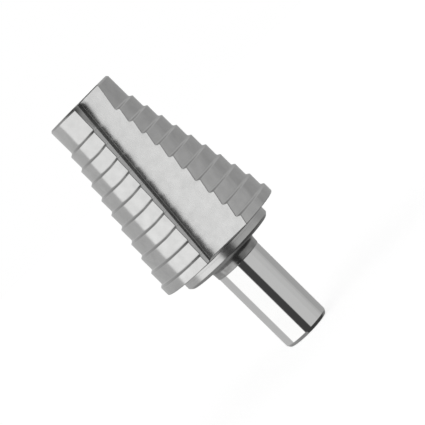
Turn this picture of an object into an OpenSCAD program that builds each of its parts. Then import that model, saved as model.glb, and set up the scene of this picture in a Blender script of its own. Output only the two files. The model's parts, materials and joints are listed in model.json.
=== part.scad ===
// Step drill: one piece of tool steel, turned to a stepped cone with a collar, a neck and a round
// shank, and milled with straight V flutes. It stands on the end of its shank with the tip up.

/* [Steps] */
// Number of cutting steps
step_count = 11; // [4:1:14]
// Diameter of the smallest step, at the tip
first_d = 18; // [16:0.5:24]
// Growth in diameter from one step to the next
step_growth = 1.5; // [0.6:0.1:2.4]
// Distance along the drill from one riser to the next
step_pitch = 3.87; // [3:0.01:6]
// Length of the smallest step, from the tip to its riser
first_land = 6.5; // [3:0.1:12]
// Length of the largest step behind its riser
last_land = 2.3; // [1:0.1:6]
// Slope of the risers against the drill's axis, in degrees
riser_angle = 45; // [35:1:60]
// Width of the cutting bevel round the tip's front edge
tip_bevel = 0.4; // [0.1:0.1:1.5]
// Edge break round the back of the largest step
back_bevel = 0.25; // [0.05:0.05:0.8]

/* [Flutes] */
// Number of flutes, spaced evenly round the axis
flute_count = 2; // [2:1:3]
// Opening angle between the rake face and the floor, in degrees
flute_angle = 90; // [80:1:100]
// Web left between the flute floors at the tip
web = 10.4; // [8:0.2:13]
// How far the rake face stands ahead of the axis at the tip; it reaches the axis at the collar
rake_lead = 1; // [0:0.1:2]
// How far outside the collar's rim the flute floor runs out
runout = 0.1; // [0.05:0.05:0.8]

/* [Collar] */
// Diameter of the collar behind the steps
collar_d = 24.6; // [18:0.2:28]
// Thickness of the collar
collar_t = 3; // [1.5:0.1:6]
// Bevel round the collar's lower edge
collar_bevel = 0.8; // [0.2:0.1:1.4]

/* [Neck] */
// Length of the neck between the collar and the shank
neck_len = 2.9; // [1:0.1:8]
// How far the neck stands proud of the shank at the collar, on the radius
neck_flare = 0.3; // [0.15:0.05:1]
// How far the neck stands proud of the shank at its lower end, on the radius
neck_lip = 0.12; // [0.05:0.01:0.15]

/* [Shank] */
// Diameter of the round shank
shank_d = 12; // [8:0.5:13]
// Length of the round shank
shank_len = 22.1; // [12:0.1:40]
// Bevel round the shank's end
shank_bevel = 0.6; // [0.1:0.1:1.5]

/* [Hidden] */
$fn = 96;

// Heights from the end of the shank up
neck_z = shank_len;
collar_z = neck_z + neck_len;
body_z = collar_z + collar_t;

// The steps, numbered from 0 at the tip
last_step = step_count - 1;
riser_h = step_growth / 2 / tan(riser_angle);
body_len = first_land + (step_count - 2) * step_pitch + riser_h + last_land;
tip_z = body_z + body_len;
body_r = step_radius(last_step);

// The flutes: how far the rake face and the floor lie from the axis at either end of the steps
floor_tip = web / 2;
floor_back = collar_d / 2 + runout;
rake_slope = atan(rake_lead / body_len);
floor_slope = atan((floor_back - floor_tip) * cos(rake_slope) / body_len);
cutter_overrun = 10;
cutter_reach = 2 * body_r;

function step_radius(i) = (first_d + i * step_growth) / 2;
function riser_top(i) = tip_z - first_land - i * step_pitch;

// The riser between step i and the larger step behind it, as two points of the turned outline
function riser(i) = [
    [step_radius(i), riser_top(i)],
    [step_radius(i + 1), riser_top(i) - riser_h]
];

// Turned outline of the steps, from the tip's centre out and down to the back face
function step_outline() = concat(
    [[0, tip_z], [step_radius(0) - tip_bevel, tip_z], [step_radius(0), tip_z - tip_bevel]],
    [for (i = [0 : last_step - 1]) each riser(i)],
    [[body_r, body_z + back_bevel], [body_r - back_bevel, body_z], [0, body_z]]
);

module stepped_cone() {
    rotate_extrude()
        polygon(step_outline());
}

// Section of one flute: the rake face runs out along -Y, and the floor opens from it towards +X
module flute_section() {
    rake_way = [0, -1];
    floor_way = [sin(flute_angle), -cos(flute_angle)];
    middle_way = [sin(flute_angle / 2), -cos(flute_angle / 2)];
    polygon(cutter_reach * [[0, 0], rake_way, 2 * middle_way, floor_way]);
}

// One flute, cut along a straight corner line that leans out from the tip towards the collar
module flute_cutter() {
    translate([rake_lead, -floor_tip, tip_z])
        rotate([-floor_slope, rake_slope, 0])
            translate([0, 0, -body_len - cutter_overrun])
                linear_extrude(height = body_len + 2 * cutter_overrun)
                    flute_section();
}

module fluted_body() {
    difference() {
        stepped_cone();
        for (i = [0 : flute_count - 1])
            rotate([0, 0, i * 360 / flute_count])
                flute_cutter();
    }
}

module collar() {
    collar_r = collar_d / 2;
    translate([0, 0, collar_z])
        rotate_extrude()
            polygon([
                [0, 0],
                [collar_r - collar_bevel, 0],
                [collar_r, collar_bevel],
                [collar_r, collar_t],
                [0, collar_t]
            ]);
}

// The neck tapers down from the collar and ends in a small bevel on the shank
module neck() {
    shank_r = shank_d / 2;
    translate([0, 0, neck_z])
        rotate_extrude()
            polygon([
                [0, 0],
                [shank_r, 0],
                [shank_r + neck_lip, neck_lip],
                [shank_r + neck_flare, neck_len],
                [0, neck_len]
            ]);
}

module shank() {
    cylinder(h = shank_bevel, d1 = shank_d - 2 * shank_bevel, d2 = shank_d);
    translate([0, 0, shank_bevel])
        cylinder(h = shank_len - shank_bevel, d = shank_d);
}

module step_drill() {
    color("silver") {
        fluted_body();
        collar();
        neck();
        shank();
    }
}

step_drill();
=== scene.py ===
"""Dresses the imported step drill: one finely modelled piece of ground steel, a studio and a camera.

Everything is in metres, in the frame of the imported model: the drill stands on the end of its shank,
+Z runs up to the tip, and one flute opens towards -Y with its rake face facing +X. The mesh grows
ring by ring from the tip down, and each stretch of its surface has a finish of its own.
"""

from __future__ import annotations

import json
import logging
import math
from dataclasses import dataclass, field
from enum import Enum

import bpy
from mathutils import Matrix, Vector
from mathutils.geometry import tessellate_polygon

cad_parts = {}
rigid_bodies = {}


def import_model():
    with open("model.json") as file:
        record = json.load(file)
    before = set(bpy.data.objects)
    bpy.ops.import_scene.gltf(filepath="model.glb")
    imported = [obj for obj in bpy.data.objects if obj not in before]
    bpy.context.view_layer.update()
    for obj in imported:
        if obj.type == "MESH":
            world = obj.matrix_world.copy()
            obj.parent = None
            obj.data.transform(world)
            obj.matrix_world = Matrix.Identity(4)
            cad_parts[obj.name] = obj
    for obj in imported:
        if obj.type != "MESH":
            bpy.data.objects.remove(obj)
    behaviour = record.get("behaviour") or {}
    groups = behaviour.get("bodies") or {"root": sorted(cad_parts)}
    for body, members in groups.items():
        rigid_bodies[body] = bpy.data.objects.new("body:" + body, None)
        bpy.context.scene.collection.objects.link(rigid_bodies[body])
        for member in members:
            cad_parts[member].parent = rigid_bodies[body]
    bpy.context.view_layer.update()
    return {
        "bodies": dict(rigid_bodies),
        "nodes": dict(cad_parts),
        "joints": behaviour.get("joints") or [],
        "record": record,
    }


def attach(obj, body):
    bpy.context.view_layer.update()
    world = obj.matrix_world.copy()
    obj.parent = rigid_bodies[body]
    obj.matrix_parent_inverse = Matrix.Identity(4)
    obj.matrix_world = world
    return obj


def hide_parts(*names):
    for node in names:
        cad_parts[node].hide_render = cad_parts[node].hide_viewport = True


LOG = logging.getLogger("step_drill")
MM = 0.001
NODE = "step_drill"
PIECE = "fluted_drill"
# Point attribute: above 0 it brightens rubbed edges, below 0 it carries painted shade near the tip
WEAR_SHADE_LAYER = "edge_wear_and_painted_shade"
WHITE = (1.0, 1.0, 1.0, 1.0)

# Height of the stepped body's back face, where the collar starts
BACK_Z = 28.0 * MM
# Where the camera stands, in a turn from -Y towards +X; the studio's cards are placed from it
CAMERA_TURN = math.radians(18)
# An angle or a length below these is taken as none
LEAST_ANGLE = 1e-6
LEAST_LENGTH = 1e-9

Triple = tuple[float, float, float]
Span = tuple[float, float]
Socket = bpy.types.NodeSocket


class Zone(Enum):
    """Stretches of the drill's surface that have a finish of their own, in slot order."""

    LAND = 0
    RISER = 1
    FLOOR = 2
    RAKE = 3
    FACE = 4
    COLLAR = 5
    NECK = 6
    SHANK = 7
    STRIP = 8
    GROOVE = 9


class Grain(Enum):
    """Which way the fine tool marks of a finish run."""

    ROUND = "round the axis"
    ALONG = "along the axis"


class Tier(Enum):
    """Tiers of the studio's light. Each value names the brightness that a card has in it."""

    UNDER = "under"
    LOW = "low"
    HIGH = "high"
    RAISED = "raised"
    UPPER = "upper"
    TOP = "top"


@dataclass(frozen=True)
class Relief:
    """How a ring climbs towards the tip as it nears the cutting edge.

    Attributes:
        lift: Climb at the cutting edge.
        span: Turn behind the edge over which it climbs.
        curve: Power of the climb: 1 is straight, and more is hollow.
    """

    lift: float = 0.0
    span: float = 1.0
    curve: float = 1.3

    def at(self, turn: float) -> float:
        """The climb at a turn behind the cutting edge."""
        return self.lift * max(0.0, 1 - turn / self.span) ** self.curve


@dataclass(frozen=True)
class Corner:
    """One corner of a turned outline.

    Attributes:
        radius: Distance from the axis.
        height: Height above the shank's end.
        zone: Finish of the stretch that follows the corner, on the way down.
        rounding: Radius of the rounding on the corner.
        relief: Its climb near the cutting edge.
    """

    radius: float
    height: float
    zone: Zone
    rounding: float = 0.0
    relief: Relief = Relief()


@dataclass(frozen=True)
class Ring:
    """One ring of the drill's mesh.

    Attributes:
        radius: Distance of the turned surface from the axis.
        height: Height above the shank's end.
        zone: Finish of the band between this ring and the next one down.
        relief: Its climb near the cutting edge.
        wear_and_shade: 1 on a rounded outer edge, 0 elsewhere.
    """

    radius: float
    height: float
    zone: Zone
    relief: Relief
    wear_and_shade: float = 0.0


@dataclass(frozen=True)
class SectionPoint:
    """One point of a ring.

    Attributes:
        place: Where it is.
        cut: Finish of the flute surface from this point to the next, or None on turned steel.
        wear_and_shade: 1 on a rounded edge, 0 elsewhere, below 0 where shade is painted into the
            steel.
    """

    place: Vector
    cut: Zone | None = None
    wear_and_shade: float = 0.0

    def half_turn(self) -> SectionPoint:
        """The same point half a turn on."""
        place = Vector((-self.place.x, -self.place.y, self.place.z))
        return SectionPoint(place, self.cut, self.wear_and_shade)


def round_point(radius: float, angle: float, height: float) -> Vector:
    """The point at a distance from the axis, an angle round it and a height."""
    return Vector((radius * math.cos(angle), radius * math.sin(angle), height))


def even_turns(start: Vector, end: Vector, count: int) -> list[Vector]:
    """Directions that turn evenly from one to another.

    Args:
        start: First direction, of unit length.
        end: Last direction, of unit length.
        count: Number of spans.

    Returns:
        count + 1 unit directions.
    """
    angle = start.angle(end)
    if angle < LEAST_ANGLE:
        return [start.copy() for _ in range(count + 1)]
    shares = (i / count for i in range(count + 1))
    return [
        (start * math.sin((1 - share) * angle) + end * math.sin(share * angle)) / math.sin(angle)
        for share in shares
    ]


def round_corner(before: Corner, here: Corner, after: Corner, spans: int) -> list[Ring]:
    """Rounds one corner of a turned outline.

    Args:
        before: The corner above it.
        here: The corner.
        after: The corner below it.
        spans: Number of spans on the rounding.

    Returns:
        The rings of the corner, from the top down.
    """
    place = Vector((here.radius, here.height))
    back = (Vector((before.radius, before.height)) - place).normalized()
    ahead = (Vector((after.radius, after.height)) - place).normalized()
    turn = math.pi - back.angle(ahead)
    reach = here.rounding * math.tan(turn / 2)
    if reach < LEAST_LENGTH:
        return [Ring(here.radius, here.height, here.zone, here.relief)]

    centre = place + (back + ahead).normalized() * (here.rounding / math.cos(turn / 2))
    start = (place + back * reach - centre).normalized()
    end = (place + ahead * reach - centre).normalized()
    outer = back.x * ahead.y - back.y * ahead.x > 0
    rings = []
    for i, way in enumerate(even_turns(start, end, spans)):
        point = centre + way * here.rounding
        zone = before.zone if i < spans // 2 else here.zone
        wear_and_shade = math.sin(math.pi * i / spans) if outer else 0.0
        rings.append(Ring(point.x, point.y, zone, here.relief, wear_and_shade))
    return rings


def round_outline(corners: list[Corner], spans: int) -> list[Ring]:
    """Rounds the corners of a turned outline.

    Args:
        corners: The outline, from its upper end to its lower end.
        spans: Number of spans on each rounding.

    Returns:
        The rings of the outline, in the same order.
    """
    first, last = corners[0], corners[-1]
    rings = [Ring(first.radius, first.height, first.zone, first.relief)]
    for before, here, after in zip(corners, corners[1:], corners[2:]):
        rings += round_corner(before, here, after, spans)
    rings.append(Ring(last.radius, last.height, last.zone, last.relief))
    return rings


@dataclass(frozen=True)
class FluteCut:
    """Where one flute's corners lie at a ring.

    Attributes:
        ring: The ring.
        edge: The cutting edge.
        root: Where the rake face meets the rounding between it and the floor.
        floor_start: Where the flute floor leaves that rounding.
        heel: Where the flute floor runs out through the land.
        heel_reach: How far the heel is rounded to either side.
        painted_shade: How much shade is painted into the flute's corner: 0, or less where it is.
    """

    ring: Ring
    edge: Vector
    root: Vector
    floor_start: Vector
    heel: Vector
    heel_reach: float
    painted_shade: float

    def edge_angle(self) -> float:
        """The cutting edge's angle round the axis."""
        return math.atan2(self.edge.y, self.edge.x)

    def land_angle(self) -> float:
        """The angle round the axis at which the land starts, behind the heel."""
        return math.atan2(self.heel.y, self.heel.x) + self.heel_reach / self.ring.radius


@dataclass
class SteppedBody:
    """The stepped cone with its two flutes, from the tip down to its back face.

    Attributes:
        tip_z: Height of the tip's end face.
        back_z: Height of the back face.
        step_count: Number of steps.
        first_radius: Radius of the smallest step, at the tip.
        step_rise: Growth in radius from one step to the next.
        step_pitch: Distance along the axis from one riser to the next.
        first_land: Length of the smallest step, from the tip to its riser.
        riser_height: Length of a riser along the axis.
        riser_sag: How far down the corner of its hollow foot lies.
        foot_rounding: Radius of that hollow.
        tip_bevel: Width of the bevel round the tip.
        back_bevel: Width of the bevel round the back face.
        back_rounding: Radius of the roundings on that bevel.
        edge_rounding: Radius of the roundings on the outer edges of the tip and the steps.
        tip_relief: How the tip's outer edge climbs near the cutting edges.
        first_relief: How the first riser climbs there.
        step_relief: How the risers after it climb there.
        last_relief: How the lowest risers climb there.
        low_risers: Number of those lowest risers.
        rake_at_tip: How far the cutting edge stands ahead of the axis at the tip.
        rake_at_back: The same at the back face.
        lean_at_tip: How far the rake face's root stands ahead of its edge at the tip.
        lean_at_back: The same at the back face.
        lean_curve: Power of that change on the way down: 1 is even, and more comes later.
        floor_at_tip: How far the flute floor lies from the axis at the tip.
        floor_at_back: The same at the back face.
        floor_tilt_at_back: Slope of the floor across the flute at the back face.
        flute_root: Radius of the rounding between the rake face and the floor.
        heel_edge: How far the heel, where the floor runs out, is rounded to either side.
        front_bevel: Width of the bevel on the flute's edges at the tip.
        floor_bevel: Width of the bevel at the floor's end on the back face.
        lip_width: How far the cutting edge's fine dark lip reaches onto the land.
        lip_depth: How far it reaches into the flute.
        strip_width: Width of the ground strip along the cutting edge, at the back face.
        strip_gain: How much wider it is at the tip.
        strip_take_up: Share of each step's rise that it takes up, to keep its inner edge straight.
        strip_tilt: Its tilt against the rake face.
        painted_shade: Strength of the shade painted into the flute's corner and onto the cutting
            strip at the tip.
        painted_shade_limit: The most that it comes to.
        painted_shade_reach: Distance along the axis over which it fades.
        wall_painted_shade: Share of it on the rake face.
        floor_painted_shade: Share of it on the floor's first stretch.
        edge_spans: Number of spans on a rounding.
        rake_spans: Number of spans on the rake face.
        floor_spans: Number of spans on the flute floor.
        land_spans: Number of spans on a land.
        land_gather: Power by which they gather at the cutting edge: 1 is even.
    """

    # The turned outline
    tip_z: float = 72.38 * MM
    back_z: float = BACK_Z
    step_count: int = 11
    first_radius: float = 9.0 * MM
    step_rise: float = 0.75 * MM
    step_pitch: float = 3.87 * MM
    first_land: float = 6.5 * MM
    riser_height: float = 0.75 * MM
    riser_sag: float = 0.33 * MM
    foot_rounding: float = 0.55 * MM
    tip_bevel: float = 0.42 * MM
    back_bevel: float = 0.13 * MM
    back_rounding: float = 0.0433 * MM
    edge_rounding: float = 0.16 * MM

    # How it climbs near the cutting edges
    tip_relief: Relief = Relief(-0.2 * MM, math.radians(60))
    first_relief: Relief = Relief(0.35 * MM, math.radians(72))
    step_relief: Relief = Relief(0.27 * MM, math.radians(14))
    last_relief: Relief = Relief(0.06 * MM, math.radians(14))
    low_risers: int = 2

    # The flutes' faces
    rake_at_tip: float = 1.19 * MM
    rake_at_back: float = 0.05 * MM
    lean_at_tip: float = 0.66 * MM
    lean_at_back: float = -0.05 * MM
    lean_curve: float = 1.4
    floor_at_tip: float = 4.6 * MM
    floor_at_back: float = 12.45 * MM
    floor_tilt_at_back: float = 0.042

    # The flutes' edges
    flute_root: float = 0.06 * MM
    heel_edge: float = 0.14 * MM
    front_bevel: float = 0.22 * MM
    floor_bevel: float = 0.16 * MM
    lip_width: float = 0.03 * MM
    lip_depth: float = 0.2 * MM
    strip_width: float = 1.11 * MM
    strip_gain: float = 0.22 * MM
    strip_take_up: float = 0.44
    strip_tilt: float = math.radians(27)

    # The shade painted into the flutes' corners and cutting strips near the tip
    painted_shade: float = 11.5
    painted_shade_limit: float = 8.2
    painted_shade_reach: float = 2.33 * MM
    wall_painted_shade: float = 0.6
    floor_painted_shade: float = 0.3

    # How finely it is meshed
    edge_spans: int = 6
    rake_spans: int = 3
    floor_spans: int = 8
    land_spans: int = 100
    land_gather: float = 1.4

    def relief(self, riser: int) -> Relief:
        """How a riser climbs near its cutting edge.

        Args:
            riser: Its number, counted from 0 at the tip.

        Returns:
            Its climb.
        """
        if riser == 0:
            return self.first_relief
        if riser < self.step_count - 1 - self.low_risers:
            return self.step_relief
        return self.last_relief

    def front_corners(self) -> list[Corner]:
        """Corners from the tip's end face to the first land.

        Returns:
            The corners, from the tip down.
        """
        rim, edge = self.first_radius - self.tip_bevel, self.edge_rounding
        land_z = self.tip_z - self.tip_bevel
        return [
            Corner(rim - edge, self.tip_z, Zone.FACE),
            Corner(rim, self.tip_z, Zone.RISER, edge),
            Corner(rim + self.front_bevel, self.tip_z - self.front_bevel, Zone.RISER),
            Corner(self.first_radius, land_z, Zone.LAND, edge, self.tip_relief),
            Corner(self.first_radius, self.tip_z - self.painted_shade_reach, Zone.LAND),
        ]

    def riser_corners(self, riser: int) -> list[Corner]:
        """Corners of a riser: its hollow foot and its outer edge.

        Args:
            riser: Its number, counted from 0 at the tip.

        Returns:
            The corners, from the top down.
        """
        top = self.tip_z - self.first_land - riser * self.step_pitch
        foot = self.first_radius + riser * self.step_rise
        outer = foot + self.step_rise
        climb = self.relief(riser)
        return [
            Corner(foot, top - self.riser_sag, Zone.RISER, self.foot_rounding, climb),
            Corner(outer, top - self.riser_height, Zone.LAND, self.edge_rounding, climb),
        ]

    def back_corners(self) -> list[Corner]:
        """Corners from the last land to the back face.

        Returns:
            The corners, from the top down.
        """
        radius = self.first_radius + (self.step_count - 1) * self.step_rise
        bevel, rounding = self.back_bevel, self.back_rounding
        return [
            Corner(radius, self.back_z + self.floor_bevel, Zone.LAND),
            Corner(radius, self.back_z + bevel, Zone.RISER, rounding),
            Corner(radius - bevel, self.back_z, Zone.FACE, rounding),
            Corner(radius - 2 * bevel, self.back_z, Zone.FACE),
        ]

    def rings(self) -> list[Ring]:
        """Rings of the body. The first and the last are trimmed to the plane faces.

        Returns:
            The rings, from the tip down.
        """
        corners = self.front_corners()
        for riser in range(self.step_count - 1):
            corners += self.riser_corners(riser)
        corners += self.back_corners()
        return round_outline(corners, self.edge_spans)[1:-1]

    def share(self, height: float) -> float:
        """How far a height lies down from the tip towards the back face, from 0 to 1."""
        return (self.tip_z - height) / (self.tip_z - self.back_z)

    def rake_x(self, height: float) -> float:
        """How far the cutting edge stands ahead of the axis at a height."""
        return self.rake_at_tip + self.share(height) * (self.rake_at_back - self.rake_at_tip)

    def lean(self, height: float) -> float:
        """How far the root of the rake face stands ahead of its cutting edge at a height."""
        share = self.share(height) ** self.lean_curve
        return self.lean_at_tip + share * (self.lean_at_back - self.lean_at_tip)

    def floor_y(self, height: float) -> float:
        """How far the flute floor lies from the axis at a height."""
        return self.floor_at_tip + self.share(height) * (self.floor_at_back - self.floor_at_tip)

    def cone_radius(self, height: float) -> float:
        """Radius of the even cone through the middles of the risers.

        Args:
            height: Height above the shank's end.

        Returns:
            The radius there.
        """
        middle_z = self.tip_z - self.first_land - self.riser_height / 2
        middle_radius = self.first_radius + self.step_rise / 2
        return middle_radius + (middle_z - height) * self.step_rise / self.step_pitch

    def strip_width_at(self, ring: Ring) -> float:
        """Width of the ground strip, which takes up part of each step."""
        even = self.strip_width + self.strip_gain * (1 - self.share(ring.height))
        return even + self.strip_take_up * (ring.radius - self.cone_radius(ring.height))

    def painted_shade_at(self, height: float) -> float:
        """Shade painted into the flute's corner and onto the cutting strip at a height: 0, or less
        towards the tip.
        """
        fading = self.painted_shade * math.exp((height - self.tip_z) / self.painted_shade_reach)
        return -min(self.painted_shade_limit, fading)

    def heel(self, ring: Ring, floor_start: Vector) -> Vector:
        """Where the flute floor, which tilts more and more towards the back, runs out.

        Args:
            ring: The ring.
            floor_start: Where the floor starts.

        Returns:
            The place, on the land.
        """
        tilt = self.floor_tilt_at_back * self.share(ring.height)
        axis_y = floor_start.y - tilt * floor_start.x
        spread = 1 + tilt**2
        x = (math.sqrt(spread * ring.radius**2 - axis_y**2) - tilt * axis_y) / spread
        return Vector((x, axis_y + tilt * x, ring.height))

    def flute_cut(self, ring: Ring) -> FluteCut:
        """Finds the flute's corners at a ring.

        Args:
            ring: The ring.

        Returns:
            The corners.
        """
        height = ring.height
        front = max(0.0, self.front_bevel - (self.tip_z - height))
        end = max(0.0, self.floor_bevel - (height - self.back_z))
        edge_z = height + ring.relief.at(0.0)
        edge_x = self.rake_x(edge_z) - front
        edge = Vector((edge_x, -math.sqrt(ring.radius**2 - edge_x**2), edge_z))
        root_x = self.rake_x(height) + self.lean(height) - front
        floor_y = self.floor_y(height) - front - end
        root = Vector((root_x, -floor_y - self.flute_root, height))
        floor_start = root + Vector((self.flute_root, self.flute_root, 0.0))
        heel = self.heel(ring, floor_start)
        return FluteCut(ring, edge, root, floor_start, heel, self.heel_edge, self.painted_shade_at(height))

    def wall_points(self, cut: FluteCut) -> list[SectionPoint]:
        """Points of the dark lip, the ground strip, the rake face and the rounding at its root.

        Args:
            cut: The flute's corners.

        Returns:
            The points, from the land just before the cutting edge to the floor's start.
        """
        lip_angle = cut.edge_angle() - self.lip_width / cut.ring.radius
        lip_start = round_point(cut.ring.radius, lip_angle, cut.edge.z)
        inward = Vector((math.sin(self.strip_tilt), math.cos(self.strip_tilt), 0.0))
        lip_end = cut.edge + inward * self.lip_depth
        strip_end = cut.edge + inward * self.strip_width_at(cut.ring)
        # Painted shade: the cutting strip takes all of it, and the rake face and the corner's
        # rounding take a share; it fades away from the tip.
        painted_shade = cut.painted_shade * self.wall_painted_shade
        points = [
            SectionPoint(lip_start, Zone.RAKE),
            SectionPoint(lip_end, Zone.STRIP, cut.painted_shade),
        ]
        for i in range(self.rake_spans):
            place = strip_end.lerp(cut.root, i / self.rake_spans)
            points.append(SectionPoint(place, Zone.RAKE, painted_shade))
        centre = cut.root + Vector((self.flute_root, 0.0, 0.0))
        for i in range(self.edge_spans + 1):
            angle = math.pi - i / self.edge_spans * math.pi / 2
            way = Vector((math.cos(angle), math.sin(angle), 0.0))
            points.append(SectionPoint(centre + way * self.flute_root, Zone.FLOOR, painted_shade))
        return points

    def floor_points(self, cut: FluteCut) -> list[SectionPoint]:
        """Points of the flute floor and of the rounding on the heel.

        Args:
            cut: The flute's corners.

        Returns:
            The points, from just after the floor's start to just before the land.
        """
        heel_start = cut.heel + (cut.floor_start - cut.heel).normalized() * cut.heel_reach
        heel_end = round_point(cut.ring.radius, cut.land_angle(), cut.ring.height)
        points = []
        for i in range(1, self.floor_spans):
            place = cut.floor_start.lerp(heel_start, i / self.floor_spans)
            # Painted shade on the floor's first stretch beside the corner, near the tip.
            painted_shade = cut.painted_shade * self.floor_painted_shade if i == 1 else 0.0
            points.append(SectionPoint(place, Zone.FLOOR, painted_shade))
        for i in range(self.edge_spans):
            t = i / self.edge_spans
            place = heel_start * (1 - t) ** 2 + cut.heel * 2 * t * (1 - t) + heel_end * t**2
            points.append(SectionPoint(place, Zone.RISER, math.sin(math.pi * t)))
        return points

    def land_points(self, cut: FluteCut) -> list[SectionPoint]:
        """Points of the land, closer together towards the next flute's cutting edge.

        Args:
            cut: The flute's corners.

        Returns:
            The points, from the heel to just before that cutting edge.
        """
        ring = cut.ring
        end = cut.edge_angle() + math.pi - self.lip_width / ring.radius
        whole = end - cut.land_angle()
        points = []
        for i in range(self.land_spans):
            turn = whole * (1 - i / self.land_spans) ** self.land_gather
            height = ring.height + ring.relief.at(turn)
            points.append(SectionPoint(round_point(ring.radius, end - turn, height)))
        return points

    def section(self, ring: Ring) -> list[SectionPoint]:
        """The section at a ring, anticlockwise seen from the tip, with a flute towards -Y.

        Args:
            ring: The ring.

        Returns:
            The points of one half, from its cutting edge on, and of its copy half a turn on.
        """
        cut = self.flute_cut(ring)
        half = self.wall_points(cut) + self.floor_points(cut) + self.land_points(cut)
        return half + [point.half_turn() for point in half]


@dataclass
class Spindle:
    """The collar, the neck and the round shank, from the body's back face down.

    Attributes:
        body_z: Height of the body's back face.
        collar_z: Height of the collar's lower face.
        collar_radius: Radius of the collar.
        collar_bevel: Width of the bevel on its lower edge.
        collar_rounding: Radius of the roundings on that bevel.
        undercut_depth: Depth of the undercut between the body and the collar.
        undercut_height: Its height.
        ring_drop: Distance from the body's back face down to the collar's turned ring.
        ring_depth: Depth of that ring.
        ring_half: Half of its height.
        neck_z: Height of the neck's lower end.
        neck_flare: How far the neck stands proud of the shank at the collar.
        neck_lip: How far it does at its lower end.
        neck_root: Radius of the hollow between the neck and the collar.
        shank_radius: Radius of the shank.
        shank_bevel: How far the bevel on its end reaches in.
        shank_bevel_height: How far that bevel reaches up.
        shank_rounding: Radius of the roundings on that bevel.
        edge_rounding: Radius of the roundings on the small edges.
        spans: Number of spans on a rounding.
        segments: Number of spans round the axis.
    """

    # The collar
    body_z: float = BACK_Z
    collar_z: float = 25.0 * MM
    collar_radius: float = 12.3 * MM
    collar_bevel: float = 0.65 * MM
    collar_rounding: float = 0.35 * MM
    undercut_depth: float = 0.25 * MM
    undercut_height: float = 0.42 * MM
    ring_drop: float = 1.2 * MM
    ring_depth: float = 0.028 * MM
    ring_half: float = 0.15 * MM

    # The neck and the shank
    neck_z: float = 22.1 * MM
    neck_flare: float = 0.3 * MM
    neck_lip: float = 0.12 * MM
    neck_root: float = 1.5 * MM
    shank_radius: float = 6.0 * MM
    shank_bevel: float = 0.45 * MM
    shank_bevel_height: float = 0.8 * MM
    shank_rounding: float = 0.35 * MM
    edge_rounding: float = 0.05 * MM

    # How finely it is meshed
    spans: int = 6
    segments: int = 144

    def collar_corners(self) -> list[Corner]:
        """Corners of the undercut and of the collar with its turned ring.

        Returns:
            The corners, from the top down.
        """
        rim, edge = self.collar_radius, self.edge_rounding
        undercut = rim - self.undercut_depth
        shoulder_z = self.body_z - self.undercut_height
        ring_z = self.body_z - self.ring_drop
        return [
            Corner(undercut, self.body_z, Zone.GROOVE),
            Corner(undercut, shoulder_z, Zone.GROOVE, edge),
            Corner(rim, shoulder_z, Zone.COLLAR, edge),
            Corner(rim, ring_z + self.ring_half, Zone.COLLAR),
            Corner(rim - self.ring_depth, ring_z, Zone.COLLAR),
            Corner(rim, ring_z - self.ring_half, Zone.COLLAR),
            Corner(rim, self.collar_z + self.collar_bevel, Zone.COLLAR, self.collar_rounding),
            Corner(rim - self.collar_bevel, self.collar_z, Zone.COLLAR, self.collar_rounding),
        ]

    def shank_corners(self) -> list[Corner]:
        """Corners of the neck and the shank.

        Returns:
            The corners, from the neck's root to the shank's end face.
        """
        shank, edge = self.shank_radius, self.edge_rounding
        end_face = shank - self.shank_bevel
        return [
            Corner(shank + self.neck_flare, self.collar_z, Zone.NECK, self.neck_root),
            Corner(shank + self.neck_lip, self.neck_z + self.neck_lip, Zone.SHANK, edge),
            Corner(shank, self.neck_z, Zone.SHANK, edge),
            Corner(shank, self.shank_bevel_height, Zone.SHANK, self.shank_rounding),
            Corner(end_face, 0.0, Zone.FACE, self.shank_rounding),
            Corner(end_face - self.shank_rounding, 0.0, Zone.FACE),
        ]

    def rings(self) -> list[Ring]:
        """Rings of the spindle. The last is trimmed to the shank's end face.

        Returns:
            The rings, from the collar down.
        """
        return round_outline(self.collar_corners() + self.shank_corners(), self.spans)[:-1]

    def section(self, ring: Ring) -> list[SectionPoint]:
        """The round section at a ring, anticlockwise seen from the tip.

        Args:
            ring: The ring.

        Returns:
            The points.
        """
        angles = (2 * math.pi * i / self.segments for i in range(self.segments))
        return [SectionPoint(round_point(ring.radius, angle, ring.height)) for angle in angles]


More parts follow.
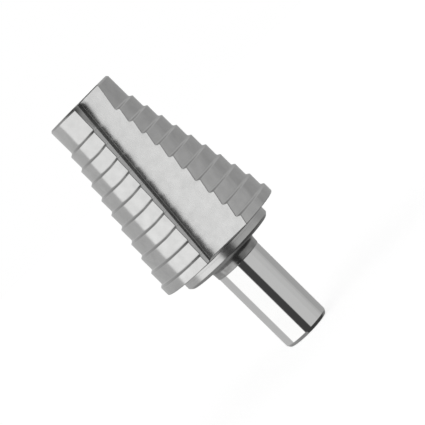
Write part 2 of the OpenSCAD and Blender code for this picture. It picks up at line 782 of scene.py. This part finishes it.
@dataclass
class RingMesh:
    """A closed mesh that grows ring by ring, from the tip down.

    Attributes:
        points: Its points.
        faces: Its faces, as lists of indices.
        zones: Slot of each face's finish.
        wear_and_shade: The value at each point: rubbed edges above 0, painted shade below 0.
    """

    points: list[Vector] = field(default_factory=list)
    faces: list[list[int]] = field(default_factory=list)
    zones: list[int] = field(default_factory=list)
    wear_and_shade: list[float] = field(default_factory=list)

    def add_face(self, face: list[int], zone: Zone) -> None:
        """Adds one face with its finish."""
        self.faces.append(face)
        self.zones.append(zone.value)

    def add_ring(self, ring: Ring, section: list[SectionPoint]) -> list[int]:
        """Adds the points of one ring.

        Args:
            ring: The ring.
            section: The section there.

        Returns:
            The indices of its points.
        """
        first = len(self.points)
        for point in section:
            self.points.append(point.place)
            self.wear_and_shade.append(point.wear_and_shade if point.cut else max(point.wear_and_shade, ring.wear_and_shade))
        return list(range(first, len(self.points)))

    def add_bands(self, part: SteppedBody | Spindle) -> tuple[list[int], list[int]]:
        """Adds the rings of a part, each joined to the next by a band of quads.

        Args:
            part: The part.

        Returns:
            The indices of its first ring's points and of its last ring's.
        """
        rings = part.rings()
        sections = [part.section(ring) for ring in rings]
        loops = [self.add_ring(ring, section) for ring, section in zip(rings, sections)]
        for upper, lower, ring, section in zip(loops, loops[1:], rings, sections):
            for i, point in enumerate(section):
                j = (i + 1) % len(section)
                self.add_face([upper[i], lower[i], lower[j], upper[j]], point.cut or ring.zone)
        return loops[0], loops[-1]

    def add_back(self, outer: list[int], inner: list[int]) -> None:
        """Fills the plane face between the body's outline and the collar, facing down.

        Args:
            outer: Indices of the body's last ring.
            inner: Indices of the collar's first ring.
        """
        loops = [[self.points[i] for i in outer], [self.points[i] for i in inner]]
        order = outer + inner
        for corners in tessellate_polygon(loops):
            face = [order[corner] for corner in corners]
            a, b, c = (self.points[i] for i in face)
            if (b - a).cross(c - a).z > 0:
                face.reverse()
            self.add_face(face, Zone.FACE)


@dataclass
class NodeBench:
    """Short calls for building a node tree.

    Attributes:
        tree: The node tree.
        noise_span: Where nearly all values of a noise lie.
    """

    tree: bpy.types.NodeTree
    noise_span: Span = (0.25, 0.75)

    def add(self, kind: str, **settings: object) -> bpy.types.Node:
        """Makes a node and sets its properties.

        Args:
            kind: Blender's name for the node.
            settings: Its properties.

        Returns:
            The node.
        """
        node = self.tree.nodes.new(kind)
        for name, value in settings.items():
            setattr(node, name, value)
        return node

    def first(self, kind: str) -> bpy.types.Node:
        """The first node of a type."""
        return next(node for node in self.tree.nodes if node.type == kind)

    def link(self, source: Socket, target: Socket) -> None:
        """Links two sockets."""
        self.tree.links.new(source, target)

    def feed(self, value: Socket | float, target: Socket) -> None:
        """Links a socket, or sets a plain number.

        Args:
            value: The socket or the number.
            target: The input it goes to.
        """
        if isinstance(value, (int, float)):
            target.default_value = value
        else:
            self.link(value, target)

    def math(self, operation: str, *values: Socket | float) -> Socket:
        """A math node.

        Args:
            operation: Blender's name for the operation.
            values: Its inputs, as sockets or numbers.

        Returns:
            The result.
        """
        node = self.add("ShaderNodeMath", operation=operation)
        for value, target in zip(values, node.inputs):
            self.feed(value, target)
        return node.outputs[0]

    def noise(self, place: Socket, scale: float, detail: float, roughness: float) -> Socket:
        """Smooth noise.

        Args:
            place: Where it is read.
            scale: How many times it changes in a metre.
            detail: How many finer layers it has.
            roughness: Their weight.

        Returns:
            A value from 0 to 1.
        """
        node = self.add("ShaderNodeTexNoise")
        node.inputs["Scale"].default_value = scale
        node.inputs["Detail"].default_value = detail
        node.inputs["Roughness"].default_value = roughness
        self.link(place, node.inputs["Vector"])
        return node.outputs["Fac"]

    def from_span(self, value: Socket, span: Span, **settings: object) -> bpy.types.Node:
        """A range node that reads a value over a span.

        Args:
            value: The value.
            span: Where the range starts and where it ends.
            settings: The node's properties.

        Returns:
            The node.
        """
        node = self.add("ShaderNodeMapRange", **settings)
        node.inputs["From Min"].default_value, node.inputs["From Max"].default_value = span
        self.link(value, node.inputs["Value"])
        return node

    def spread_noise(self, value: Socket, middle: float, reach: float) -> Socket:
        """Spreads a noise over a range.

        Args:
            value: The noise.
            middle: Middle of the range.
            reach: How far it reaches to either side.

        Returns:
            The result.
        """
        node = self.from_span(value, self.noise_span, clamp=True)
        node.inputs["To Min"].default_value = middle - reach
        node.inputs["To Max"].default_value = middle + reach
        return node.outputs["Result"]

    def soft_step(self, value: Socket, span: Span) -> Socket:
        """A share that passes softly from 0 to 1 as a value crosses a span."""
        return self.from_span(value, span, interpolation_type="SMOOTHSTEP").outputs["Result"]

    def mix(self, share: Socket, before: Socket, after: Socket | float) -> Socket:
        """Mixes two numbers.

        Args:
            share: Share of the second.
            before: The first.
            after: The second.

        Returns:
            The mixed number.
        """
        node = self.add("ShaderNodeMix", data_type="FLOAT")
        self.link(share, node.inputs["Factor"])
        self.link(before, node.inputs["A"])
        self.feed(after, node.inputs["B"])
        return node.outputs["Result"]

    def scaled(self, vector: Socket, scale: Triple) -> Socket:
        """Scales a vector, each way by its own factor.

        Args:
            vector: The vector.
            scale: The factors.

        Returns:
            The scaled vector.
        """
        node = self.add("ShaderNodeVectorMath", operation="MULTIPLY")
        self.link(vector, node.inputs[0])
        node.inputs[1].default_value = scale
        return node.outputs["Vector"]

    def round_axis(self, place: Socket) -> Socket:
        """Turns a place into its angle round the axis, its distance from it and its height.

        Args:
            place: The place.

        Returns:
            The three values, joined.
        """
        parts = self.add("ShaderNodeSeparateXYZ")
        self.link(place, parts.inputs[0])
        x, y, height = parts.outputs
        squares = self.math("MULTIPLY_ADD", x, x, self.math("MULTIPLY", y, y))
        joined = self.add("ShaderNodeCombineXYZ")
        self.link(self.math("ARCTAN2", y, x), joined.inputs[0])
        self.link(self.math("SQRT", squares), joined.inputs[1])
        self.link(height, joined.inputs[2])
        return joined.outputs[0]


@dataclass(frozen=True)
class SteelFinish:
    """One finish of the steel.

    Attributes:
        name: Name of the material.
        tint: Base colour.
        roughness: Middle of the roughness.
        spread: How far the roughness wanders to either side.
        stretch: How strongly the tool marks stretch a highlight, from 0 to 1.
        grain: Which way the tool marks run.
        pitch: Distance between tool marks.
        depth: Height of the tool marks.
        mottle: How far the colour wanders, as a share of it.
        wear_and_shade_gain: How much brighter a value of 1 on a rubbed edge makes the colour, as a
            share of it; painted shade, below 0, darkens it in the same way.
        marks_round: How often a mark round the axis changes in a radian.
        marks_along: How often a mark along the axis changes in the marks' own pitch.
        mark_detail: Finer layers of the tool marks.
        mark_roughness: Their weight.
        clouds: How many soft patches of colour there are in a metre.
        cloud_detail: Finer layers of the patches.
        cloud_roughness: Their weight.
    """

    name: str
    tint: Triple
    roughness: float
    spread: float
    stretch: float
    grain: Grain
    pitch: float
    depth: float
    mottle: float
    wear_and_shade_gain: float = 0.1
    marks_round: float = 0.6
    marks_along: float = 0.03
    mark_detail: float = 4.0
    mark_roughness: float = 0.6
    clouds: float = 450.0
    cloud_detail: float = 3.0
    cloud_roughness: float = 0.5

    def material(self) -> bpy.types.Material:
        """Makes the finish as a procedural material.

        Returns:
            The material.
        """
        made = bpy.data.materials.new(self.name)
        made.use_nodes = True
        bench = NodeBench(made.node_tree)
        shader = bench.first("BSDF_PRINCIPLED")
        shader.inputs["Metallic"].default_value = 1.0
        place = bench.add("ShaderNodeTexCoord").outputs["Object"]
        self.stretch_highlights(bench, shader)
        self.colour(bench, shader, place)
        self.roughen(bench, shader, place)
        return made

    def stretch_highlights(self, bench: NodeBench, shader: bpy.types.Node) -> None:
        """Stretches the highlights across the tool marks.

        Args:
            bench: Where the nodes are made.
            shader: The steel's shader.
        """
        quarter_turn = 0.25
        shader.inputs["Anisotropic"].default_value = self.stretch
        if self.grain is Grain.ROUND:
            shader.inputs["Anisotropic Rotation"].default_value = quarter_turn
        tangent = bench.add("ShaderNodeTangent", direction_type="RADIAL", axis="Z")
        bench.link(tangent.outputs["Tangent"], shader.inputs["Tangent"])

    def colour(self, bench: NodeBench, shader: bpy.types.Node, place: Socket) -> None:
        """Colours the steel: in soft patches, brighter on rubbed edges and darker where shade is
        painted near the tip.

        Args:
            bench: Where the nodes are made.
            shader: The steel's shader.
            place: The place on the drill.
        """
        patches = bench.noise(place, self.clouds, self.cloud_detail, self.cloud_roughness)
        shade = bench.spread_noise(patches, 1.0, self.mottle)
        wear_and_shade = bench.add("ShaderNodeAttribute", attribute_name=WEAR_SHADE_LAYER).outputs["Fac"]
        tone = bench.add("ShaderNodeVectorMath", operation="SCALE")
        tone.inputs[0].default_value = self.tint
        bench.link(bench.math("MULTIPLY_ADD", wear_and_shade, self.wear_and_shade_gain, shade), tone.inputs["Scale"])
        bench.link(tone.outputs["Vector"], shader.inputs["Base Color"])

    def roughen(self, bench: NodeBench, shader: bpy.types.Node, place: Socket) -> None:
        """Gives the steel its tool marks, in roughness and in height.

        Args:
            bench: Where the nodes are made.
            shader: The steel's shader.
            place: The place on the drill.
        """
        marks = self.tool_marks(bench, place)
        rough = bench.spread_noise(marks, self.roughness, self.spread)
        bench.link(rough, shader.inputs["Roughness"])
        bump = bench.add("ShaderNodeBump")
        bump.inputs["Distance"].default_value = self.depth
        bump.inputs["Strength"].default_value = 1.0
        bench.link(marks, bump.inputs["Height"])
        bench.link(bump.outputs["Normal"], shader.inputs["Normal"])

    def tool_marks(self, bench: NodeBench, place: Socket) -> Socket:
        """Fine marks left by the lathe or the wheel.

        Args:
            bench: Where the nodes are made.
            place: The place on the drill.

        Returns:
            A value from 0 to 1.
        """
        across = 1 / self.pitch
        if self.grain is Grain.ROUND:
            spaced = bench.scaled(bench.round_axis(place), (self.marks_round, across, across))
        else:
            spaced = bench.scaled(place, (across, across, self.marks_along * across))
        return bench.noise(spaced, 1.0, self.mark_detail, self.mark_roughness)


FINISHES: dict[Zone, SteelFinish] = {
    Zone.LAND: SteelFinish(
        "land_ground", tint=(0.635, 0.635, 0.63), roughness=0.18, spread=0.03, stretch=0.65,
        grain=Grain.ROUND, pitch=0.09 * MM, depth=0.0006 * MM, mottle=0.06,
    ),
    Zone.RISER: SteelFinish(
        "riser_ground", tint=(0.58, 0.58, 0.575), roughness=0.2, spread=0.03, stretch=0.3,
        grain=Grain.ROUND, pitch=0.06 * MM, depth=0.0004 * MM, mottle=0.02,
    ),
    Zone.FLOOR: SteelFinish(
        "flute_floor_ground", tint=(0.665, 0.665, 0.66), roughness=0.28, spread=0.04, stretch=0.2,
        grain=Grain.ALONG, pitch=0.14 * MM, depth=0.0003 * MM, mottle=0.07,
    ),
    # The rake face's tint, about half that of the lands, is painted shade for the flute's deep
    # corner; the fine dark lip along the cutting edge takes this finish too.
    Zone.RAKE: SteelFinish(
        "rake_face_ground", tint=(0.33, 0.33, 0.328), roughness=0.22, spread=0.04, stretch=0.4,
        grain=Grain.ALONG, pitch=0.1 * MM, depth=0.0005 * MM, mottle=0.03,
    ),
    Zone.FACE: SteelFinish(
        "end_face_turned", tint=(0.6, 0.6, 0.595), roughness=0.26, spread=0.04, stretch=0.4,
        grain=Grain.ROUND, pitch=0.12 * MM, depth=0.0008 * MM, mottle=0.03,
    ),
    Zone.COLLAR: SteelFinish(
        "collar_turned", tint=(0.62, 0.62, 0.615), roughness=0.24, spread=0.04, stretch=0.0,
        grain=Grain.ROUND, pitch=0.15 * MM, depth=0.0012 * MM, mottle=0.03,
    ),
    # The neck's dark tint and strong mottle are painted shade under the collar and a painted
    # reflection of its dark underside.
    Zone.NECK: SteelFinish(
        "neck_turned", tint=(0.44, 0.44, 0.435), roughness=0.22, spread=0.08, stretch=0.2,
        grain=Grain.ROUND, pitch=0.2 * MM, depth=0.002 * MM, mottle=0.3,
    ),
    Zone.SHANK: SteelFinish(
        "shank_ground", tint=(0.83, 0.83, 0.825), roughness=0.07, spread=0.015, stretch=0.3,
        grain=Grain.ROUND, pitch=0.05 * MM, depth=0.0001 * MM, mottle=0.01,
    ),
    Zone.STRIP: SteelFinish(
        "cutting_strip_ground", tint=(0.71, 0.71, 0.705), roughness=0.25, spread=0.05, stretch=0.0,
        grain=Grain.ALONG, pitch=0.1 * MM, depth=0.0008 * MM, mottle=0.03,
    ),
    # The undercut's dark tint is painted shade in the gap between the body and the collar.
    Zone.GROOVE: SteelFinish(
        "undercut_turned", tint=(0.4, 0.4, 0.396), roughness=0.35, spread=0.05, stretch=0.1,
        grain=Grain.ROUND, pitch=0.1 * MM, depth=0.001 * MM, mottle=0.1,
    ),
}


@dataclass
class StepDrill:
    """The whole drill, one piece of steel.

    Attributes:
        body: The stepped cone.
        spindle: The collar, the neck and the shank.
        flat_angle: Edges sharper than this aren't smoothed over.
        face_weight: How strongly large faces keep the smoothing next to them flat.
    """

    body: SteppedBody = field(default_factory=SteppedBody)
    spindle: Spindle = field(default_factory=Spindle)
    flat_angle: float = math.radians(25)
    face_weight: int = 50

    def shape(self) -> RingMesh:
        """Grows the mesh from the tip down.

        Returns:
            The closed mesh.
        """
        made = RingMesh()
        tip, back = made.add_bands(self.body)
        collar, end = made.add_bands(self.spindle)
        made.add_face(tip, Zone.FACE)
        made.add_back(back, collar)
        made.add_face(end[::-1], Zone.FACE)
        return made

    def mesh(self) -> bpy.types.Mesh:
        """Makes the mesh with its finishes, its rubbed edges and painted shade, and its sharp edges.

        Returns:
            The mesh.
        """
        shape = self.shape()
        mesh = bpy.data.meshes.new(PIECE)
        mesh.from_pydata(shape.points, [], shape.faces)
        for zone in Zone:
            mesh.materials.append(FINISHES[zone].material())
        mesh.polygons.foreach_set("material_index", shape.zones)
        mesh.polygons.foreach_set("use_smooth", [True] * len(mesh.polygons))
        wear_and_shade_values = mesh.attributes.new(WEAR_SHADE_LAYER, "FLOAT", "POINT")
        wear_and_shade_values.data.foreach_set("value", shape.wear_and_shade)
        mesh.set_sharp_from_angle(angle=self.flat_angle)
        mesh.validate()
        return mesh

    def build(self) -> bpy.types.Object:
        """Builds the drill and dresses it.

        Returns:
            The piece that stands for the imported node.
        """
        piece = bpy.data.objects.new(PIECE, self.mesh())
        bpy.context.scene.collection.objects.link(piece)
        weighted = piece.modifiers.new("flat_lands", "WEIGHTED_NORMAL")
        weighted.keep_sharp = True
        weighted.weight = self.face_weight
        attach(piece, "root")
        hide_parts(NODE)
        return piece


@dataclass(frozen=True)
class Card:
    """One even stretch of the studio round the drill.

    Attributes:
        start: Where it starts, in degrees to the right of the camera.
        low: Its brightness below the drill's height.
        high: Its brightness just above the drill's height.
        raised: Its brightness further up.
        upper: Its brightness halfway to the ceiling.
        top: Its brightness at the ceiling.
        under: Its brightness near the ground.
    """

    start: float
    low: float
    high: float
    raised: float
    upper: float
    top: float
    under: float

    def level(self, tier: Tier) -> float:
        """Its brightness in a tier."""
        return getattr(self, tier.value)


def grey(level: float) -> tuple[float, float, float, float]:
    """A grey of a given brightness."""
    return (level, level, level, 1.0)


@dataclass
class Studio:
    """The surroundings that light the drill and show in its steel, and the pale floor.

    Attributes:
        cards: The stretches of light round the drill.
        seam: Half of the soft seam between two cards, in degrees.
        tiers: Where each tier takes over from those before it, as sines of the elevation.
        floor_size: Length of the floor's sides.
        floor_level: Brightness of the floor's paint.
        floor_lift: Light added to the floor for the camera alone, so that it meets the backdrop.
    """

    cards: tuple[Card, ...] = (
        Card(-180.0, low=0.53, high=0.62, raised=0.54, upper=0.46, top=0.05, under=0.3),
        Card(-92.0, low=1.18, high=1.06, raised=1.16, upper=0.8, top=0.05, under=0.25),
        Card(-16.5, low=0.055, high=0.06, raised=0.08, upper=0.25, top=0.05, under=0.05),
        Card(17.7, low=0.59, high=0.43, raised=0.48, upper=0.58, top=0.25, under=0.05),
        Card(65.0, low=0.55, high=0.37, raised=0.44, upper=0.56, top=0.3, under=0.05),
        Card(92.0, low=0.49, high=0.36, raised=0.42, upper=0.54, top=0.35, under=0.05),
        Card(104.0, low=0.4, high=0.4, raised=0.42, upper=0.54, top=0.35, under=0.05),
        Card(132.0, low=0.4, high=0.4, raised=0.42, upper=0.54, top=0.35, under=0.2),
    )
    seam: float = 1.5
    tiers: tuple[tuple[Tier, Span], ...] = (
        (Tier.HIGH, (-0.045, 0.0)),
        (Tier.RAISED, (0.1, 0.18)),
        (Tier.UPPER, (0.2, 0.5)),
        (Tier.UNDER, (-0.18, -0.45)),
        (Tier.TOP, (0.77, 0.9)),
    )
    floor_size: float = 3.0
    floor_level: float = 0.8
    floor_lift: float = 0.67

    def build(self) -> bpy.types.Object:
        """Builds the surroundings and the floor, and returns the floor."""
        self.surroundings()
        return self.floor()

    def surroundings(self) -> None:
        """Sets the world: white to the camera, and cards in a ring to the steel and the floor."""
        world = bpy.data.worlds.new("studio")
        world.use_nodes = True
        bpy.context.scene.world = world
        bench = NodeBench(world.node_tree)
        parts = bench.add("ShaderNodeSeparateXYZ")
        bench.link(bench.add("ShaderNodeTexCoord").outputs["Generated"], parts.inputs[0])
        x, y, height = parts.outputs
        share = self.turn_share(bench, x, y)
        level = self.ring_of_cards(bench, share, Tier.LOW)
        for tier, span in self.tiers:
            reached = bench.soft_step(height, span)
            level = bench.mix(reached, level, self.ring_of_cards(bench, share, tier))
        seen = bench.add("ShaderNodeLightPath").outputs["Is Camera Ray"]
        shown = bench.first("BACKGROUND")
        bench.link(bench.mix(seen, level, 1.0), shown.inputs["Strength"])
        shown.inputs["Color"].default_value = WHITE

    def turn_share(self, bench: NodeBench, x: Socket, y: Socket) -> Socket:
        """A direction's share of the turn round the drill, with the camera at a half.

        Args:
            bench: Where the nodes are made.
            x: The direction's X.
            y: The direction's Y.

        Returns:
            The share, from 0 to 1.
        """
        cos, sin = math.cos(CAMERA_TURN), math.sin(CAMERA_TURN)
        right = bench.math("MULTIPLY_ADD", x, cos, bench.math("MULTIPLY", y, sin))
        near = bench.math("MULTIPLY_ADD", x, sin, bench.math("MULTIPLY", y, -cos))
        turn = bench.math("DIVIDE", bench.math("ARCTAN2", right, near), 2 * math.pi)
        return bench.math("ADD", turn, 0.5)

    def ring_of_cards(self, bench: NodeBench, share: Socket, tier: Tier) -> Socket:
        """The cards' brightness by direction in one tier.

        Args:
            bench: Where the nodes are made.
            share: The direction, from 0 to 1 round the ring.
            tier: The tier.

        Returns:
            The brightness.
        """
        half_turn, full_turn = 180.0, 360.0
        ramp = bench.add("ShaderNodeValToRGB")
        stops = ramp.color_ramp.elements
        while len(stops) > 1:
            stops.remove(stops[-1])
        stops[0].position = 0.0
        stops[0].color = grey(self.cards[0].level(tier))
        for before, card in zip(self.cards, self.cards[1:]):
            for side, shown in ((-self.seam, before), (self.seam, card)):
                stop = stops.new((card.start + side + half_turn) / full_turn)
                stop.color = grey(shown.level(tier))
        bench.link(share, ramp.inputs["Fac"])
        return ramp.outputs["Color"]

    def floor(self) -> bpy.types.Object:
        """Lays the pale floor, which stays white up to the backdrop and takes the drill's shadow.

        Returns:
            The floor.
        """
        half = self.floor_size / 2
        mesh = bpy.data.meshes.new("floor")
        corners = [(-half, -half, 0), (half, -half, 0), (half, half, 0), (-half, half, 0)]
        mesh.from_pydata(corners, [], [(0, 1, 2, 3)])
        mesh.materials.append(self.floor_paint())
        piece = bpy.data.objects.new("floor", mesh)
        piece.visible_glossy = False
        bpy.context.scene.collection.objects.link(piece)
        return piece

    def floor_paint(self) -> bpy.types.Material:
        """Makes the floor's matt paint.

        Returns:
            The material.
        """
        paint = bpy.data.materials.new("floor_pale")
        paint.use_nodes = True
        bench = NodeBench(paint.node_tree)
        shader = bench.first("BSDF_PRINCIPLED")
        shader.inputs["Base Color"].default_value = grey(self.floor_level)
        shader.inputs["Roughness"].default_value = 1.0
        shader.inputs["Specular IOR Level"].default_value = 0.0
        shader.inputs["Emission Color"].default_value = WHITE
        seen = bench.add("ShaderNodeLightPath").outputs["Is Camera Ray"]
        lift = bench.math("MULTIPLY", seen, self.floor_lift)
        bench.link(lift, shader.inputs["Emission Strength"])
        return paint


@dataclass
class PhotoCamera:
    """The camera: beside the flute, near the tip's height, rolled so that the drill lies aslant.

    Attributes:
        distance: Its distance from the axis.
        aside: How far it and its aim are shifted to its right.
        height: Its height.
        aim_height: Height of its aim.
        roll: How far it is rolled.
        lens: Focal length in millimetres.
        sensor: Width of the sensor in millimetres.
        clip: The nearest and the furthest distance that it sees.
    """

    distance: float = 447.3 * MM
    aside: float = 3.65 * MM
    height: float = 68.64 * MM
    aim_height: float = 33.95 * MM
    roll: float = math.radians(45.4)
    lens: float = 169.4
    sensor: float = 36.0
    clip: Span = (0.01, 10.0)

    def placement(self) -> Matrix:
        """Where the camera stands and how it is turned.

        Returns:
            Its matrix.
        """
        near = Vector((math.sin(CAMERA_TURN), -math.cos(CAMERA_TURN), 0.0))
        across = Vector((math.cos(CAMERA_TURN), math.sin(CAMERA_TURN), 0.0))
        place = near * self.distance + across * self.aside + Vector((0, 0, self.height))
        aim = across * self.aside + Vector((0, 0, self.aim_height))
        back = (place - aim).normalized()
        up = Vector((0, 0, 1)).cross(back).cross(back) * -1
        level = Matrix((up.cross(back), up, back)).transposed()
        level.normalize()
        return Matrix.Translation(place) @ level.to_4x4() @ Matrix.Rotation(-self.roll, 4, "Z")

    def build(self) -> bpy.types.Object:
        """Makes the camera.

        Returns:
            The camera.
        """
        data = bpy.data.cameras.new("photo_camera")
        data.lens = self.lens
        data.sensor_width = self.sensor
        data.clip_start, data.clip_end = self.clip
        camera = bpy.data.objects.new("photo_camera", data)
        camera.matrix_world = self.placement()
        bpy.context.scene.collection.objects.link(camera)
        bpy.context.scene.camera = camera
        return camera


def report(piece: bpy.types.Object) -> None:
    """Logs what a piece is made of."""
    mesh = piece.data
    LOG.info("%s: %d faces, %d finishes", piece.name, len(mesh.polygons), len(mesh.materials))


def main() -> None:
    """Loads the frame, builds the drill, its studio and the camera."""
    logging.basicConfig(level=logging.INFO, format="%(name)s %(message)s")
    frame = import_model()
    LOG.info("frame loaded as %s", type(frame).__name__)
    report(StepDrill().build())
    report(Studio().build())
    camera = PhotoCamera().build()
    LOG.info("%s: lens %.1f mm", camera.name, camera.data.lens)
    bpy.context.scene.view_settings.view_transform = "Standard"
    LOG.info("sizes written")


if __name__ == "__main__":
    main()
